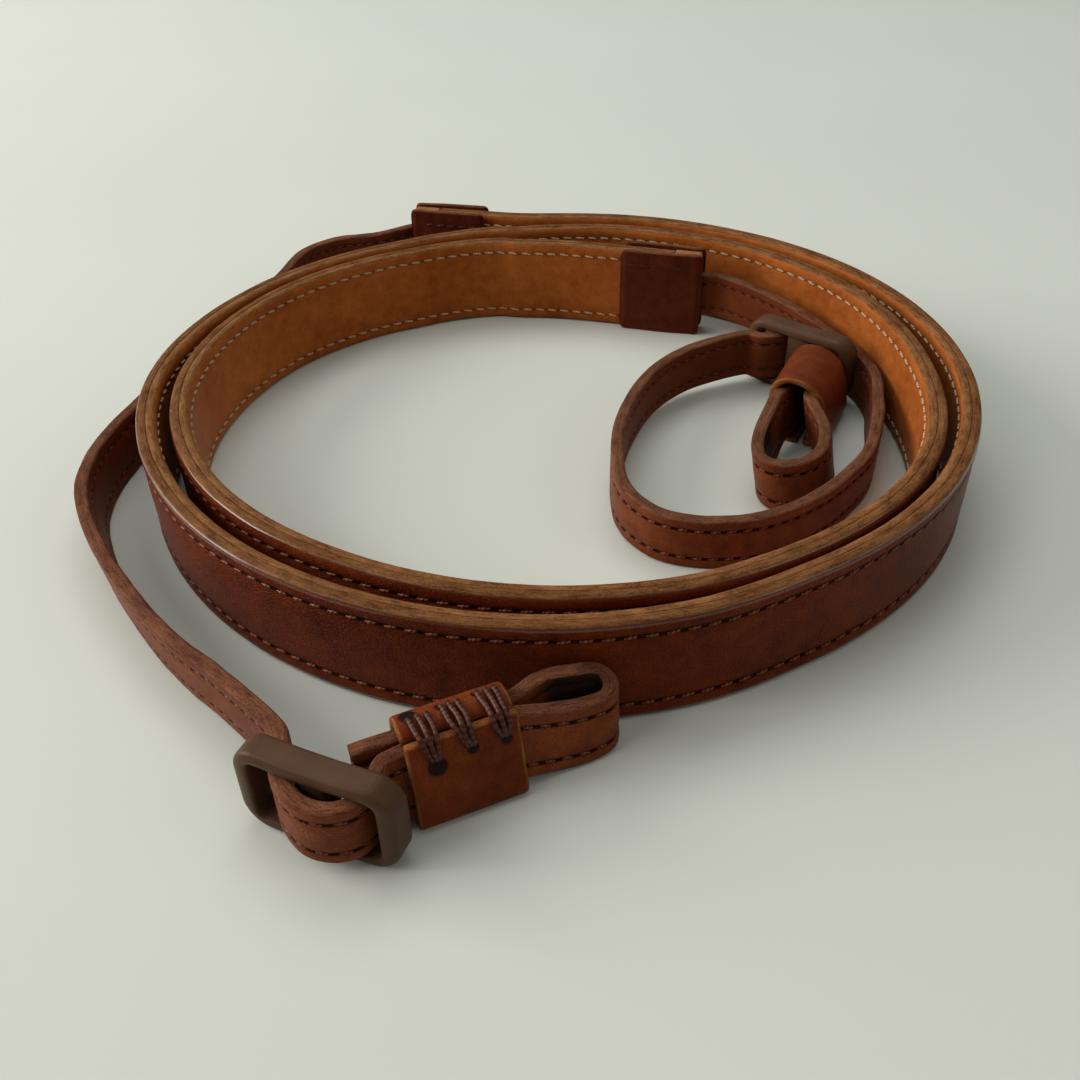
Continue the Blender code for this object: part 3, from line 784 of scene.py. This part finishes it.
end_cover("cover_a", "end_cover_a", Place(-9.922, 80.583, 167.164))
end_cover("cover_b", "end_cover_b", Place(20.656, 58.941, -16.194))


# The thin straps
# Narrow two-ply straps, sewn along both edges, that leave the covers, pass the slides,
# run through the keepers and return after the lug loop. Their rims are fibrous.

THIN_WIDTH = 9.5 * MM
THIN_ROW = 2.75 * MM
THIN_PITCH = 2.5 * MM
THIN_STITCH = 1.6 * MM
THIN_THREAD_DEPTH = 0.98 * MM
THIN_STEP = 0.7 * MM
THIN_END = 0.5 * MM
FIRST_THIN_STITCH = 2 * MM
LAST_THIN_STITCH = 1.5 * MM
SOFT_WAVE = 0.07 * MM
SOFT_WAVES_A_METRE = 300

# Routes: x, y and height, and how far the strap leans out in x and y for each unit of height
ROUTE_A = (
    (-21.43, 83.20, 9.00, 0, 0), (-27.28, 84.54, 9.00, 0, 0), (-28.40, 84.79, 9.00, 0, 0),
    (-35.31, 81.76, 8.55, 0, 0), (-40.19, 81.39, 8.17, 0, 0), (-44.59, 81.25, 7.88, 0, 0),
    (-48.43, 79.49, 7.60, 0, 0), (-51.41, 77.02, 7.32, -0.01, 0.02),
    (-53.23, 74.40, 7.03, -0.03, 0.03), (-54.73, 70.21, 6.65, -0.03, 0.04),
    (-56.01, 65.06, 6.27, -0.04, 0.04), (-58.68, 56.90, 5.89, -0.06, 0.05),
    (-63.46, 44.41, 5.41, -0.09, 0.05), (-68.98, 29.41, 5.03, -0.12, 0.03),
    (-73.43, 12.36, 4.84, -0.15, 0.01), (-75.53, 3.98, 4.84, -0.16, -0.01),
    (-76.71, -5.66, 4.84, -0.16, -0.03), (-75.58, -15.46, 4.84, -0.15, -0.05),
    (-71.49, -25.36, 4.84, -0.14, -0.06), (-66.35, -34.20, 4.84, -0.10, -0.06),
    (-60.84, -41.90, 4.84, -0.08, -0.06), (-55.16, -49.12, 4.84, -0.06, -0.06),
    (-49.25, -55.49, 4.94, -0.04, -0.05), (-43.26, -61.09, 5.41, -0.02, -0.03),
    (-33.74, -71.16, 6.27, 0, 0), (-31.90, -74.79, 6.74, 0, 0), (-31.65, -78.19, 6.93, 0, 0),
    (-30.74, -81.32, 6.93, 0, 0), (-28.03, -84.77, 6.93, 0, 0), (-24.67, -85.97, 6.93, 0, 0),
    (-21.89, -85.32, 6.93, 0, 0), (-20.22, -83.47, 6.93, 0, 0), (-19.43, -81.33, 6.84, 0, 0),
    (-18.38, -79.30, 6.32, -0.10, 0.22), (-15.50, -77.67, 6.25, -0.11, 0.25),
    (-9.30, -75.00, 6.25, -0.11, 0.25), (-2.83, -72.21, 6.25, -0.11, 0.25),
    (-1.52, -71.65, 6.18, -0.11, 0.25), (2.31, -70.26, 5.32, -0.09, 0.20),
    (6.03, -68.99, 4.94, -0.06, 0.15), (8.83, -67.70, 5.03, -0.04, 0.10),
    (9.87, -66.68, 5.41, -0.03, 0.07), (9.86, -65.28, 6.08, -0.02, 0.04),
    (8.84, -64.31, 6.84, -0.01, 0.01), (7.39, -64.35, 7.60, 0, 0), (4.72, -65.25, 8.07, 0, 0),
    (0.82, -66.10, 7.60, -0.02, 0.05), (-2.52, -68.95, 6.36, -0.10, 0.24),
    (-3.90, -69.73, 6.25, -0.11, 0.25), (-10.37, -72.52, 6.25, -0.11, 0.25),
    (-21.53, -77.32, 6.25, -0.11, 0.25), (-22.22, -77.62, 6.25, -0.11, 0.25),
)
ROUTE_B = (
    (31.99, 55.65, 9.00, 0, 0), (37.75, 53.98, 9.00, 0, 0), (38.85, 53.66, 9.00, 0, 0),
    (42.33, 52.70, 8.84, 0, 0), (48.23, 47.71, 8.36, 0, 0), (53.53, 42.60, 7.41, 0, 0),
    (57.80, 37.28, 6.55, 0, 0), (61.16, 32.24, 5.80, 0, 0), (64.14, 26.73, 5.22, 0, 0),
    (65.78, 21.26, 4.94, 0, 0), (66.06, 15.21, 4.84, 0, 0), (64.63, 8.69, 4.84, 0, 0),
    (63.19, 2.68, 4.84, 0, 0), (60.94, -3.81, 4.84, 0, 0), (57.97, -10.37, 4.84, 0, 0),
    (53.65, -15.87, 4.84, 0, 0), (49.15, -20.62, 4.84, 0, 0), (42.77, -25.41, 4.84, 0, 0),
    (35.98, -28.45, 4.84, 0, 0), (30.19, -29.16, 4.84, 0, 0), (25.63, -28.75, 4.84, 0, 0),
    (21.16, -27.16, 4.84, 0, 0), (18.17, -24.37, 4.84, 0, 0), (15.84, -20.34, 4.84, 0, 0),
    (14.74, -14.86, 4.84, 0, 0), (14.96, -5.87, 4.84, 0, 0), (16.13, 1.46, 4.94, 0, 0),
    (18.36, 8.65, 4.94, 0, 0), (21.46, 15.58, 5.13, 0, 0), (25.43, 21.14, 5.51, 0, 0),
    (30.45, 25.50, 5.99, 0, 0), (35.85, 28.11, 6.46, 0, 0), (43.53, 30.96, 6.65, 0, 0),
    (46.32, 29.24, 6.84, 0, 0), (49.64, 29.48, 6.93, 0, 0), (51.74, 30.30, 6.93, 0, 0),
    (53.97, 30.73, 6.93, 0, 0), (56.36, 29.57, 6.93, 0, 0), (57.71, 27.20, 6.93, 0, 0),
    (57.36, 24.24, 6.93, 0, 0), (57.10, 21.65, 6.89, -0.04, -0.05),
    (57.40, 18.81, 6.25, -0.18, 0.09), (54.75, 12.57, 6.25, -0.18, 0.09),
    (51.98, 6.06, 6.25, -0.18, 0.09), (52.13, 3.51, 6.23, -0.18, 0.09),
    (52.92, -1.82, 5.32, -0.18, 0.09), (52.39, -5.97, 5.03, -0.18, 0.09),
    (50.72, -10.02, 4.94, -0.18, 0.09), (48.07, -12.81, 4.94, -0.18, 0.09),
    (45.54, -13.95, 4.94, -0.18, 0.09), (43.17, -14.19, 4.94, -0.18, 0.09),
    (41.32, -13.47, 4.94, -0.18, 0.09), (40.20, -11.90, 4.94, -0.18, 0.09),
    (39.93, -9.29, 4.94, -0.18, 0.09), (40.89, -4.88, 5.03, -0.18, 0.09),
    (43.54, 1.61, 5.41, -0.18, 0.09), (46.05, 6.69, 6.23, -0.18, 0.09),
    (47.53, 8.39, 6.25, -0.18, 0.09), (51.29, 14.38, 6.25, -0.18, 0.09),
    (54.66, 19.73, 6.25, -0.18, 0.09), (55.06, 20.37, 6.25, -0.18, 0.09),
)
# Upper half of the thin strap's section: through the wall, up
THIN_HALF = [
    (-1.15, 0.0), (-1.14, 1.4), (-1.11, 2.38), (-0.96, 2.60), (-0.90, 2.75), (-0.96, 2.90),
    (-1.11, 3.12), (-1.15, 3.6), (-1.14, 4.18), (-1.07, 4.46), (-0.92, 4.63), (-0.66, 4.71),
    (-0.33, 4.73), (0.0, 4.69), (0.33, 4.73), (0.66, 4.71), (0.92, 4.63), (1.07, 4.46),
    (1.14, 4.18), (1.15, 3.6), (1.11, 3.12), (0.96, 2.90), (0.90, 2.75), (0.96, 2.60),
    (1.11, 2.38), (1.14, 1.4), (1.15, 0.0),
]


def plan_curve_shares(rows, step):
    """For each point of the same smooth curve, its row and its share of the way onwards."""
    marks = []
    for spot in range(len(rows) - 1):
        steps = max(1, math.ceil((rows[spot + 1] - rows[spot]).length / step))
        marks += [(spot, count / steps) for count in range(steps)]
    return [*marks, (len(rows) - 1, 0.0)]


def soft_wave(along, up, through):
    """Slight unevenness of soft leather."""
    return SOFT_WAVE * noise.noise(Vector((along, up, through)) * SOFT_WAVES_A_METRE)


def thin_strap(name, node, route, lug_tip, reach, side, rims):
    """One thin strap with its four rows of stitches; the inside of its lug loop is painted in shadow.

    The lug loop is given by its tip, how far the painted shadow reaches from there, and the
    side of the strap that it is on.
    """
    places = [Vector(row[:3]) * MM for row in route]
    rows = [Vector((*row[3:], 0)) for row in route]
    leans = []
    for spot, share in plan_curve_shares(places, THIN_STEP):
        leans.append(rows[spot].lerp(rows[min(spot + 1, len(rows) - 1)], share))
    stations = stations_of(plan_curve(places, THIN_STEP), 0.0, leans)
    length = stations[-1][0]
    tip = min(stations, key=lambda station: (station[1].to_2d() - Vector(lug_tip) * MM).length)
    loop_shadow = (tip[0], reach, side)
    chestnut = strap_leather(
        name + "_leather", ((0.088, 0.0175, 0.0060), (0.242, 0.062, 0.0195)), rims, THIN_WIDTH,
        (THIN_ROW, THIN_PITCH, 0.45, 0.97), (0.36, 0.10 * MM), cut=length, loop_shadow=loop_shadow,
    )
    strap = band(
        name, stations, mirrored(THIN_HALF), chestnut, round_end=THIN_END, ripple=soft_wave,
    )
    on_root(strap, "chestnut_leather", node)
    sewing = bmesh.new()
    rows = [
        (height, depth) for height in (THIN_ROW, -THIN_ROW)
        for depth in (THIN_THREAD_DEPTH, -THIN_THREAD_DEPTH)
    ]
    sew(
        sewing, stations, rows, FIRST_THIN_STITCH, length - LAST_THIN_STITCH,
        pitch=THIN_PITCH, length=THIN_STITCH, thread=FINE_THREAD, loop_shadow=loop_shadow,
    )
    on_root(place_object(name + "_stitches", sewing, brown_thread), "chestnut_leather")


thin_strap(
    "thin_a", "thin_strap_a", ROUTE_A, (9.87, -66.68), 14.0 * MM, 1,
    ((0.047, 0.015, 0.008), (0.210, 0.080, 0.041)),
)
thin_strap(
    "thin_b", "thin_strap_b", ROUTE_B, (43.17, -14.19), 19.0 * MM, -1,
    ((0.050, 0.016, 0.008), (0.195, 0.080, 0.042)),
)


# The slides
# Moulded plastic frames with a slim bar across their middle. The thin strap goes in
# behind one side, round the bar and out again, so that its length can be set.

SLIDE_LENGTH = 22.8 * MM
SLIDE_HEIGHT = 13.8 * MM
SLIDE_DEPTH = 4.3 * MM
SLIDE_RAIL = 1.8 * MM
SLIDE_POST = 2.5 * MM
SLIDE_CORNER = 4.0 * MM
WINDOW_CORNER = 1.4 * MM
SLIDE_BOW = 0.5 * MM
CENTRE_BAR = 5.4 * MM
CENTRE_BAR_DEPTH = 3.0 * MM
BAR_SIDES = 24

# Points round each corner of the frame, cuts of each straight run, points round a rail
CORNER_STEPS = 10
RUN_PARTS = 3
RAIL_RING = 28
# Powers that turn a round rail and bar into soft-edged ones, and how much a rail tapers outwards
RAIL_SOFT_OUT = 0.42
RAIL_SOFT_DEEP = 0.28
BAR_SOFT = 0.6
RAIL_TAPER = 0.16

# Matt taupe plastic: faint clouds and specks, and fine scratches drawn out upwards
TAUPE_SHINE = 0.12
TAUPE_GLOSS = (1.0, 0.80, 0.64, 1.0)
TAUPE_TONES = ((0.30, (0.062, 0.0300, 0.0162)), (0.72, (0.081, 0.0405, 0.0222)))
SCRATCH_TONE = (0.16, 0.105, 0.070)

taupe = Finish("taupe_plastic", Specular_IOR_Level=TAUPE_SHINE, Specular_Tint=TAUPE_GLOSS)
taupe_place = taupe.node("ShaderNodeTexCoord", {}, {}, "Object")
taupe_cloud = taupe.cloud(taupe_place, 260.0, 3.0)
taupe_speck = taupe.cloud(taupe_place, 5200.0, 2.0)
taupe_scratch = taupe.cloud(taupe.scaled(taupe_place, (1.0, 1.0, 0.08)), 2600.0, 3.0, 0.7)
taupe_scratch = taupe_scratch.rising(0.60, 0.74)
taupe_tone = taupe.tones(taupe_cloud, TAUPE_TONES)
taupe_tone = taupe.mix(taupe_scratch * 0.20, taupe_tone, SCRATCH_TONE)
taupe_plastic = taupe.feed(
    Base_Color=taupe_tone, Roughness=0.34 + taupe_cloud * 0.14 + taupe_scratch * 0.12,
    Normal=taupe.relief(taupe_speck * 0.5 + taupe_cloud, 0.04 * MM),
)


def rounded_outline(half_along, low, high, corner, steps):
    """Rounded rectangle as along and up pairs, with as many points at every corner."""
    points = []
    centres = (
        (half_along - corner, high - corner, 0), (corner - half_along, high - corner, 90),
        (corner - half_along, low + corner, 180), (half_along - corner, low + corner, 270),
    )
    for along, up, start in centres:
        for count in range(steps + 1):
            angle = math.radians(start + 90 * count / steps)
            out_along, out_up = corner * math.cos(angle), corner * math.sin(angle)
            points.append(Vector((along + out_along, up + out_up)))
    return points


def spread_evenly(points, parts):
    """A closed outline with every straight run cut into parts."""
    made = []
    for spot, point in enumerate(points):
        after = points[(spot + 1) % len(points)]
        made += [point.lerp(after, count / parts) for count in range(parts)]
    return made


def squared(value, power):
    """A value from -1 to 1 drawn towards its ends, as a round section is made squarish."""
    return math.copysign(abs(value) ** power, value)


def slide(name, node, place):
    """Frame of soft-edged rails and posts, and the bar across it, bowed to the strap."""
    half = SLIDE_LENGTH / 2
    outside = rounded_outline(half, 0, SLIDE_HEIGHT, SLIDE_CORNER, CORNER_STEPS)
    inside = rounded_outline(
        half - SLIDE_POST, SLIDE_RAIL, SLIDE_HEIGHT - SLIDE_RAIL, WINDOW_CORNER, CORNER_STEPS,
    )
    outside, inside = spread_evenly(outside, RUN_PARTS), spread_evenly(inside, RUN_PARTS)
    length = len(outside)
    shape = bmesh.new()
    made = bmesh.ops.create_grid(shape, x_segments=length, y_segments=RAIL_RING, size=1.0)["verts"]
    for vert in made:
        spot = round((vert.co.x + 1) / 2 * length) % length
        angle = 2 * math.pi * round((vert.co.y + 1) / 2 * RAIL_RING) / RAIL_RING
        soft_out = squared(math.cos(angle), RAIL_SOFT_OUT)
        soft_deep = squared(math.sin(angle), RAIL_SOFT_DEEP)
        middle = (outside[spot] + inside[spot]) / 2
        reach = (outside[spot] - inside[spot]) / 2
        rail = middle + reach * soft_out
        narrow = 1.0 - RAIL_TAPER * max(0.0, soft_out)
        vert.co = Vector((rail.x, soft_deep * SLIDE_DEPTH / 2 * narrow, rail.y))
    bmesh.ops.remove_doubles(shape, verts=made, dist=SAME_POINT)
    made = bmesh.ops.create_cone(
        shape, cap_ends=True, segments=BAR_SIDES, radius1=1.0, radius2=1.0,
        depth=SLIDE_HEIGHT - SLIDE_RAIL,
    )["verts"]
    for vert in made:
        vert.co = Vector((
            squared(vert.co.x, BAR_SOFT) * CENTRE_BAR / 2,
            squared(vert.co.y, BAR_SOFT) * CENTRE_BAR_DEPTH / 2,
            vert.co.z + SLIDE_HEIGHT / 2,
        ))
    for vert in shape.verts:
        vert.co.y += SLIDE_BOW * ((vert.co.x / half) ** 2 - 0.5)
        vert.co = place.at(vert.co.x, vert.co.y, vert.co.z)
    on_root(place_object(name, shape, taupe_plastic), "taupe_plastic", node)


slide("frame_slide_a", "slide_a", Place(-26.395, -81.075, -23.800))
slide("frame_slide_b", "slide_b", Place(54.053, 27.462, -40.000))


# The keepers
# Leather sleeves that hold both strands of a thin strap together. One shows its seam, with
# a lip that laps and punched holes painted near black as shadow. The other turns its seam down.

KEEPER_LENGTH = 15.0 * MM
SLEEVE_MIDDLE = 6.25 * MM
SLEEVE_FACE = 0.62 * MM
SLEEVE_STEP = 0.3 * MM
SLEEVE_CORNER = 0.35 * MM

# Upper half of the wall's section, over the keeper's length: through the wall, along
SLEEVE_HALF = [
    (-0.60, 0.0), (-0.60, 3.0), (-0.60, 6.9), (-0.55, 7.25), (-0.40, 7.44), (-0.15, 7.50), (0.15, 7.50),
    (0.40, 7.44), (0.55, 7.25), (0.60, 6.9), (0.61, 5.5), (0.62, 3.0), (0.62, 0.0),
]


def keeper(name, node, place, rim, tilt, holes=()):
    """Sleeve rolled along its rim; the rim's rows are left and up in millimetres.

    The tilt is how far the sleeve leans to its left for each unit of height. A hole is its
    place over the keeper's length, its left and up, and its radius.
    """
    points = plan_curve([Vector((left * MM, 0, up * MM)) for left, up in rim], SLEEVE_STEP)
    stations = []
    along = 0.0
    for spot, point in enumerate(points):
        before = points[max(spot - 1, 0)]
        after = points[min(spot + 1, len(points) - 1)]
        along += (point - before).length
        step = (after - before).normalized()
        lean = tilt * (point.z - SLEEVE_MIDDLE)
        across = place.left * (step.z - tilt * step.x) + Vector((0, 0, -step.x))
        centre = place.at(KEEPER_LENGTH / 2, point.x + lean, point.z)
        stations.append((along, centre, across, place.along))
    punched = []
    for over, left, up, radius in holes:
        near = Vector((left * MM, 0, up * MM))
        spot = min(range(len(points)), key=lambda which: (points[which] - near).length)
        place_on = (stations[spot][0], over * MM - KEEPER_LENGTH / 2, SLEEVE_FACE)
        punched.append((place_on, radius * MM))
    leather = strap_leather(
        name + "_leather", ((0.075, 0.0125, 0.0036), (0.190, 0.040, 0.0110)),
        ((0.090, 0.024, 0.007), (0.30, 0.108, 0.030)), KEEPER_LENGTH, UNSEWN, (0.30, 0.05 * MM),
        cut=along, punched=punched,
    )
    made = band(name, stations, mirrored(SLEEVE_HALF), leather, round_end=SLEEVE_CORNER)
    on_root(made, "sleeve_leather", node)


KEEPER_A = Place(-16.727, -76.725, 23.300)
KEEPER_A_TILT = 0.27
KEEPER_B = Place(56.497, 20.124, -117.600)
KEEPER_B_TILT = -0.20

# Near wall's lip, down, under, up the far side and over the top back to the near lip
RIM_A = (
    (-3.32, 12.75), (-3.33, 12.0), (-3.35, 9.5), (-3.35, 6.0), (-3.35, 3.0), (-3.10, 1.3),
    (-2.2, 0.62), (0.0, 0.60), (2.2, 0.62), (3.10, 1.3), (3.35, 3.0), (3.35, 6.0), (3.35, 9.2),
    (3.05, 10.9), (2.3, 11.95), (1.1, 12.50), (-0.1, 12.60), (-1.1, 12.35), (-1.8, 11.85),
)
# Over the keeper's length, left and up, and the radius of each hole painted near black as shadow
HOLES_A = (
    (3.6, -3.35, 9.2, 1.50), (8.4, -3.35, 10.1, 1.00), (12.9, -3.35, 9.9, 1.00),
    (2.0, 0.8, 12.5, 1.30), (6.1, 0.5, 12.5, 0.70), (11.0, 0.9, 12.5, 0.70),
)
keeper("keeper_sleeve_a", "keeper_a", KEEPER_A, RIM_A, KEEPER_A_TILT, HOLES_A)

RIM_B = (
    (-0.5, 0.62), (-2.6, 0.64), (-4.0, 1.1), (-4.75, 2.4), (-4.9, 5.0), (-4.85, 8.0),
    (-4.3, 10.4), (-3.0, 12.0), (-1.2, 12.8), (0.8, 12.8), (2.7, 12.1), (4.2, 10.5), (4.8, 8.0),
    (4.9, 5.0), (4.75, 2.4), (4.0, 1.1), (2.6, 0.64), (0.5, 0.62),
)
keeper("keeper_sleeve_b", "keeper_b", KEEPER_B, RIM_B, KEEPER_B_TILT)


# The lacing of the seam that shows
# Thick waxed thread, three crossings of three strands each: together out of a hole in
# the near wall, up over the lip, and spread where they go down into the flap on top.

LACE_RADIUS = 0.38 * MM
LACE_STEP = 0.25 * MM
# Between the three strands at their hole, how far the middle one rides up, and stray bends
STRAND_SPACING = 0.42
STRAND_RISE = 0.22
STRAND_SWAY = 0.20
FIRST_ACROSS = Vector((0.3, 0.5, 0.8))

lace_thread = thread_finish(
    "lace_thread", (0.026, 0.0082, 0.0058), (0.076, 0.0255, 0.0170), 0.40, 0.03 * MM,
)


def add_cord(shape, points, radius, sides=8):
    """Round strand along points, its ends closed."""
    angles = [2 * math.pi * count / sides for count in range(sides)]
    ring = [(radius * math.cos(angle), radius * math.sin(angle)) for angle in angles]
    stations = []
    along = 0.0
    across = None
    for spot, point in enumerate(points):
        before = points[max(spot - 1, 0)]
        after = points[min(spot + 1, len(points) - 1)]
        step = (after - before).normalized()
        along += (point - before).length
        guess = across if across is not None else FIRST_ACROSS
        across = (guess - step * guess.dot(step)).normalized()
        stations.append((along, point, across, step.cross(across)))
    add_band(shape, stations, ring)


# For each crossing: where the near hole lies along and up, and where each strand ends
CROSSINGS = (
    (3.5, 10.3, ((1.8, -0.1), (3.0, 0.2), (4.2, 0.1))),
    (8.2, 10.7, ((6.3, 0.4), (7.3, 0.6), (8.4, 0.5))),
    (12.7, 10.5, ((11.2, 0.8), (12.4, 0.9), (13.5, 0.7))),
)

lacing = bmesh.new()
for hole_along, hole_up, ends in CROSSINGS:
    for which, (end_along, end_left) in enumerate(ends):
        start = hole_along + (which - 1) * STRAND_SPACING
        rise = STRAND_RISE * (which == 1)
        lean = end_along - start
        sway = random.uniform(-STRAND_SWAY, STRAND_SWAY)
        rows = [
            (start, -3.1, hole_up), (start, -4.15, hole_up + 0.12),
            (start + 0.15 * lean, -4.42 - rise, hole_up + 0.9),
            (start + 0.50 * lean + sway, -4.45 - rise, 12.3),
            (start + 0.72 * lean, -3.95, 13.35 + rise),
            (start + 0.88 * lean - sway, -2.5, 13.72 + rise),
            (start + 0.97 * lean, -1.0, 13.70 + rise),
            (end_along, end_left, 13.45), (end_along, end_left + 0.55, 12.4),
        ]
        line = []
        for along, left, up in rows:
            shift = KEEPER_A_TILT * (up * MM - SLEEVE_MIDDLE)
            line.append(KEEPER_A.at(along * MM, left * MM + shift, up * MM))
        add_cord(lacing, plan_curve(line, LACE_STEP), LACE_RADIUS)
on_root(place_object("keeper_lacing", lacing, lace_thread), "sleeve_leather")
